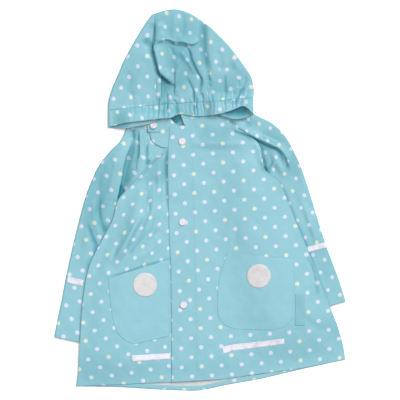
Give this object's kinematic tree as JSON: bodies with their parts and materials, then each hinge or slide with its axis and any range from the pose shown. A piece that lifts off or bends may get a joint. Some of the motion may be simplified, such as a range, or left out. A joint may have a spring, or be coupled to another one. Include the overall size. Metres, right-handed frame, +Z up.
{
  "type": "toddler raincoat",
  "caption": "Hooded toddler raincoat laid flat on its back, with raglan sleeves, a snapped front flap, patch pockets and a gathered hood folded down over the neck.",
  "frame": {"origin": "middle of the coat's outline as it lies, on the floor under it", "axes": "+X towards the wearer's left, +Y from hem to crown, +Z up out of the front"},
  "size_m": [0.51, 0.6672, 0.0176],
  "materials": {
    "coated_cloth": "coated woven polyester, soft sheen, printed with small pale dots",
    "plain_cloth": "the same coated cloth without dots",
    "reflective_grey": "light grey reflective sheet, satin",
    "reflective_tape": "silvery white reflective tape",
    "snap_cap": "pale lilac, gently glossy",
    "label_cloth": "plain pale grey tab, bare"
  },
  "bodies": {
    "root": {"back": "coated_cloth", "back_hem": "coated_cloth", "front_right": "coated_cloth", "front_left": "coated_cloth", "front_flap": "coated_cloth", "neck_facing": "coated_cloth", "sleeve_right": "coated_cloth", "sleeve_left": "coated_cloth", "hood_right": "coated_cloth", "hood_left": "coated_cloth", "hood_centre": "coated_cloth", "hood_casing": "coated_cloth", "hood_neckband": "coated_cloth", "neck_tab": "coated_cloth", "pocket_right": "plain_cloth", "pocket_left": "plain_cloth", "badge_right": "reflective_grey", "badge_left": "reflective_grey", "tape_sleeve_right": "reflective_tape", "tape_sleeve_left": "reflective_tape", "tape_hem_right": "reflective_tape", "tape_hem_left": "reflective_tape", "snap_neck": "snap_cap", "snap_top": "snap_cap", "snap_middle": "snap_cap", "snap_bottom": "snap_cap", "label": "label_cloth"}
  },
  "joints": []
}
